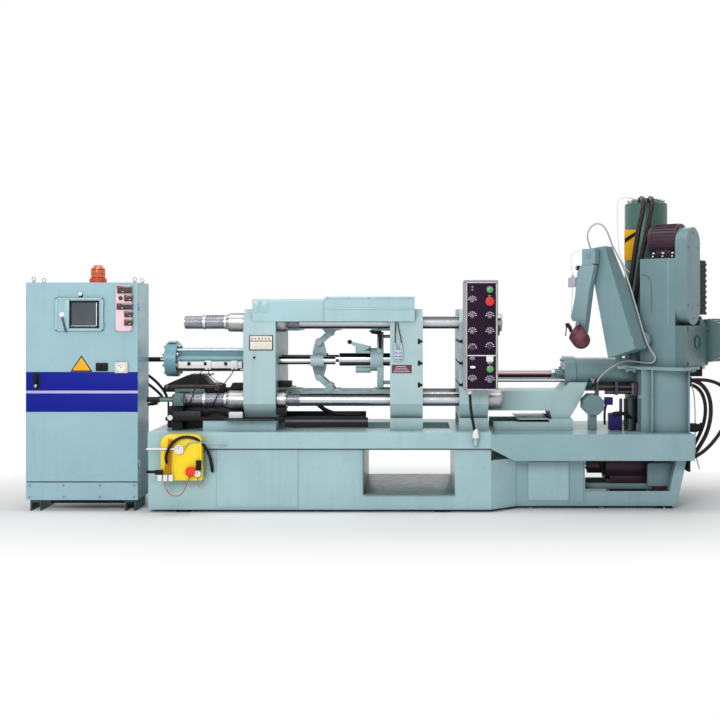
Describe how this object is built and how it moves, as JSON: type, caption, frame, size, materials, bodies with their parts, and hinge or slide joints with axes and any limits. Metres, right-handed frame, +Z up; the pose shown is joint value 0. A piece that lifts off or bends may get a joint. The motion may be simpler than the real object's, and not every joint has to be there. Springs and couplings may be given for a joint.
{
  "type": "die casting machine",
  "caption": "Cold-chamber die casting machine: toggle clamp on tie bars over a cast bed, injection end on a welded table, robot ladler with cup, upright accumulator and control cabinet.",
  "frame": {"origin": "on the floor, under the middle of the machine's own box", "axes": "+X from the control cabinet to the injection end, -Y the operator's side, +Z up"},
  "size_m": [6.044, 1.25, 2.66],
  "materials": {
    "mint_paint": "satin machine enamel",
    "chrome": "hard chrome",
    "machined_steel": "turned and ground",
    "black_steel": "black oxide",
    "dark_motor": "dark gloss paint",
    "iron_burgundy": "coated, heat stained",
    "lubricator_yellow": "gloss paint",
    "panel_gray": "fine texture",
    "dark_plastic": "matte",
    "amber_lens": "clear lens",
    "screen_glass": "clear sheet",
    "rubber_black": "matte rubber"
  },
  "bodies": {
    "frame": {"bed_frame": "mint_paint", "leveling_pads": "black_steel", "access_panels": "mint_paint", "tail_plate": "mint_paint", "fixed_platen": "mint_paint", "tie_bars": "chrome", "tie_bar_nuts": "machined_steel", "clamp_cylinder": "mint_paint", "die_height_drive": "dark_motor", "guide_rods": "chrome", "hood_rear": "mint_paint", "cabinet_body": "mint_paint", "cabinet_runners": "black_steel", "beacon": "amber_lens", "lubricator": "lubricator_yellow", "control_panel": "panel_gray", "injection_base": "mint_paint", "injection_deck": "mint_paint", "hydraulic_pack": "dark_motor", "injection_slide": "mint_paint", "c_frame": "mint_paint", "shot_cylinder": "mint_paint", "injection_guide_rod": "chrome", "valve_block": "mint_paint", "shot_manifold": "black_steel", "column": "mint_paint", "ladler_body": "mint_paint", "chain_guard": "mint_paint", "ladler_motor": "dark_motor", "ladler_gearmotor": "mint_paint", "cable_duct": "black_steel", "accumulator_shell": "mint_paint", "accumulator_head": "mint_paint", "accumulator_base": "mint_paint", "panel_conduit": "rubber_black", "cabinet_hoses": "rubber_black", "accumulator_hoses": "rubber_black", "injection_hoses": "rubber_black", "ladler_conduit": "rubber_black"},
    "cabinet_door": {"cabinet_door": "mint_paint", "temperature_controllers": "panel_gray"},
    "screen_hatch": {"screen_hatch": "mint_paint", "hatch_window": "screen_glass"},
    "platen": {"movable_platen": "mint_paint", "ejector_cylinder": "machined_steel", "hood_front": "mint_paint"},
    "ejector": {"ejector_plate": "mint_paint"},
    "crosshead": {"crosshead": "mint_paint", "piston_rod": "chrome"},
    "rear_link_upper": {"rear_link_upper": "mint_paint"},
    "rear_link_lower": {"rear_link_lower": "mint_paint"},
    "front_link_upper": {"front_link_upper": "mint_paint"},
    "front_link_lower": {"front_link_lower": "mint_paint"},
    "small_link_upper": {"small_link_upper": "mint_paint"},
    "small_link_lower": {"small_link_lower": "mint_paint"},
    "plunger": {"plunger_rod": "chrome"},
    "ladler_arm": {"ladler_arm": "mint_paint", "arm_conduit": "rubber_black"},
    "ladler_forearm": {"forearm": "mint_paint"},
    "ladle_cup": {"ladle": "iron_burgundy"}
  },
  "joints": [
    {"name": "door_hinge", "type": "hinge", "parent": "frame", "child": "cabinet_door", "pos_m": [-2.09499, -0.379, 1], "axis": [0, 0, 1], "range_deg": [0, 105]},
    {"name": "hatch_hinge", "type": "hinge", "parent": "cabinet_door", "child": "screen_hatch", "pos_m": [-2.38199, -0.4123, 1.623], "axis": [0, 0, 1], "range_deg": [0, 90]},
    {"name": "platen_slide", "type": "slide", "parent": "frame", "child": "platen", "axis": [-1, 0, 0], "range_m": [0, 0.2184]},
    {"name": "crosshead_slide", "type": "slide", "parent": "frame", "child": "crosshead", "axis": [-1, 0, 0], "range_m": [0, 0.1234]},
    {"name": "rear_upper_pivot", "type": "hinge", "parent": "frame", "child": "rear_link_upper", "pos_m": [-0.81699, 0.075, 1.532], "axis": [0, 1, 0], "range_deg": [0, 48.1]},
    {"name": "rear_lower_pivot", "type": "hinge", "parent": "frame", "child": "rear_link_lower", "pos_m": [-0.81699, 0.075, 0.932], "axis": [0, 1, 0], "range_deg": [-48.1, 0]},
    {"name": "front_upper_pivot", "type": "hinge", "parent": "platen", "child": "front_link_upper", "pos_m": [-0.15699, 0.075, 1.532], "axis": [0, 1, 0], "range_deg": [-48.1, 0]},
    {"name": "front_lower_pivot", "type": "hinge", "parent": "platen", "child": "front_link_lower", "pos_m": [-0.15699, 0.075, 0.932], "axis": [0, 1, 0], "range_deg": [0, 48.1]},
    {"name": "small_upper_pivot", "type": "hinge", "parent": "crosshead", "child": "small_link_upper", "pos_m": [-0.64699, 0.075, 1.384], "axis": [0, 1, 0], "range_deg": [0, 91.25]},
    {"name": "small_lower_pivot", "type": "hinge", "parent": "crosshead", "child": "small_link_lower", "pos_m": [-0.64699, 0.075, 1.08], "axis": [0, 1, 0], "range_deg": [-91.25, 0]},
    {"name": "ejector_slide", "type": "slide", "parent": "platen", "child": "ejector", "axis": [1, 0, 0], "range_m": [0, 0.05]},
    {"name": "plunger_slide", "type": "slide", "parent": "frame", "child": "plunger", "axis": [-1, 0, 0], "range_m": [0, 0.2]},
    {"name": "ladler_shoulder", "type": "hinge", "parent": "frame", "child": "ladler_arm", "pos_m": [2.08325, -0.25913, 1.41], "axis": [0.6157, 0.788, 0], "range_deg": [-20, 60]},
    {"name": "ladler_elbow", "type": "hinge", "parent": "ladler_arm", "child": "ladler_forearm", "pos_m": [1.64934, -0.27037, 2.107], "axis": [-0.6157, -0.788, 0], "range_deg": [-15, 75]},
    {"name": "ladle_wrist", "type": "hinge", "parent": "ladler_forearm", "child": "ladle_cup", "pos_m": [1.54375, -0.26909, 1.488], "axis": [-0.6157, -0.788, 0], "range_deg": [-40, 60]}
  ],
  "couplings": [
    {"joint": "crosshead_slide", "follows": "platen_slide", "ratio": 0.5625},
    {"joint": "rear_upper_pivot", "follows": "platen_slide", "rad_per_m": 3.8359},
    {"joint": "rear_lower_pivot", "follows": "platen_slide", "rad_per_m": -3.8359},
    {"joint": "front_upper_pivot", "follows": "platen_slide", "rad_per_m": -3.8359},
    {"joint": "front_lower_pivot", "follows": "platen_slide", "rad_per_m": 3.8359},
    {"joint": "small_upper_pivot", "follows": "platen_slide", "rad_per_m": 7.284},
    {"joint": "small_lower_pivot", "follows": "platen_slide", "rad_per_m": -7.284}
  ]
}
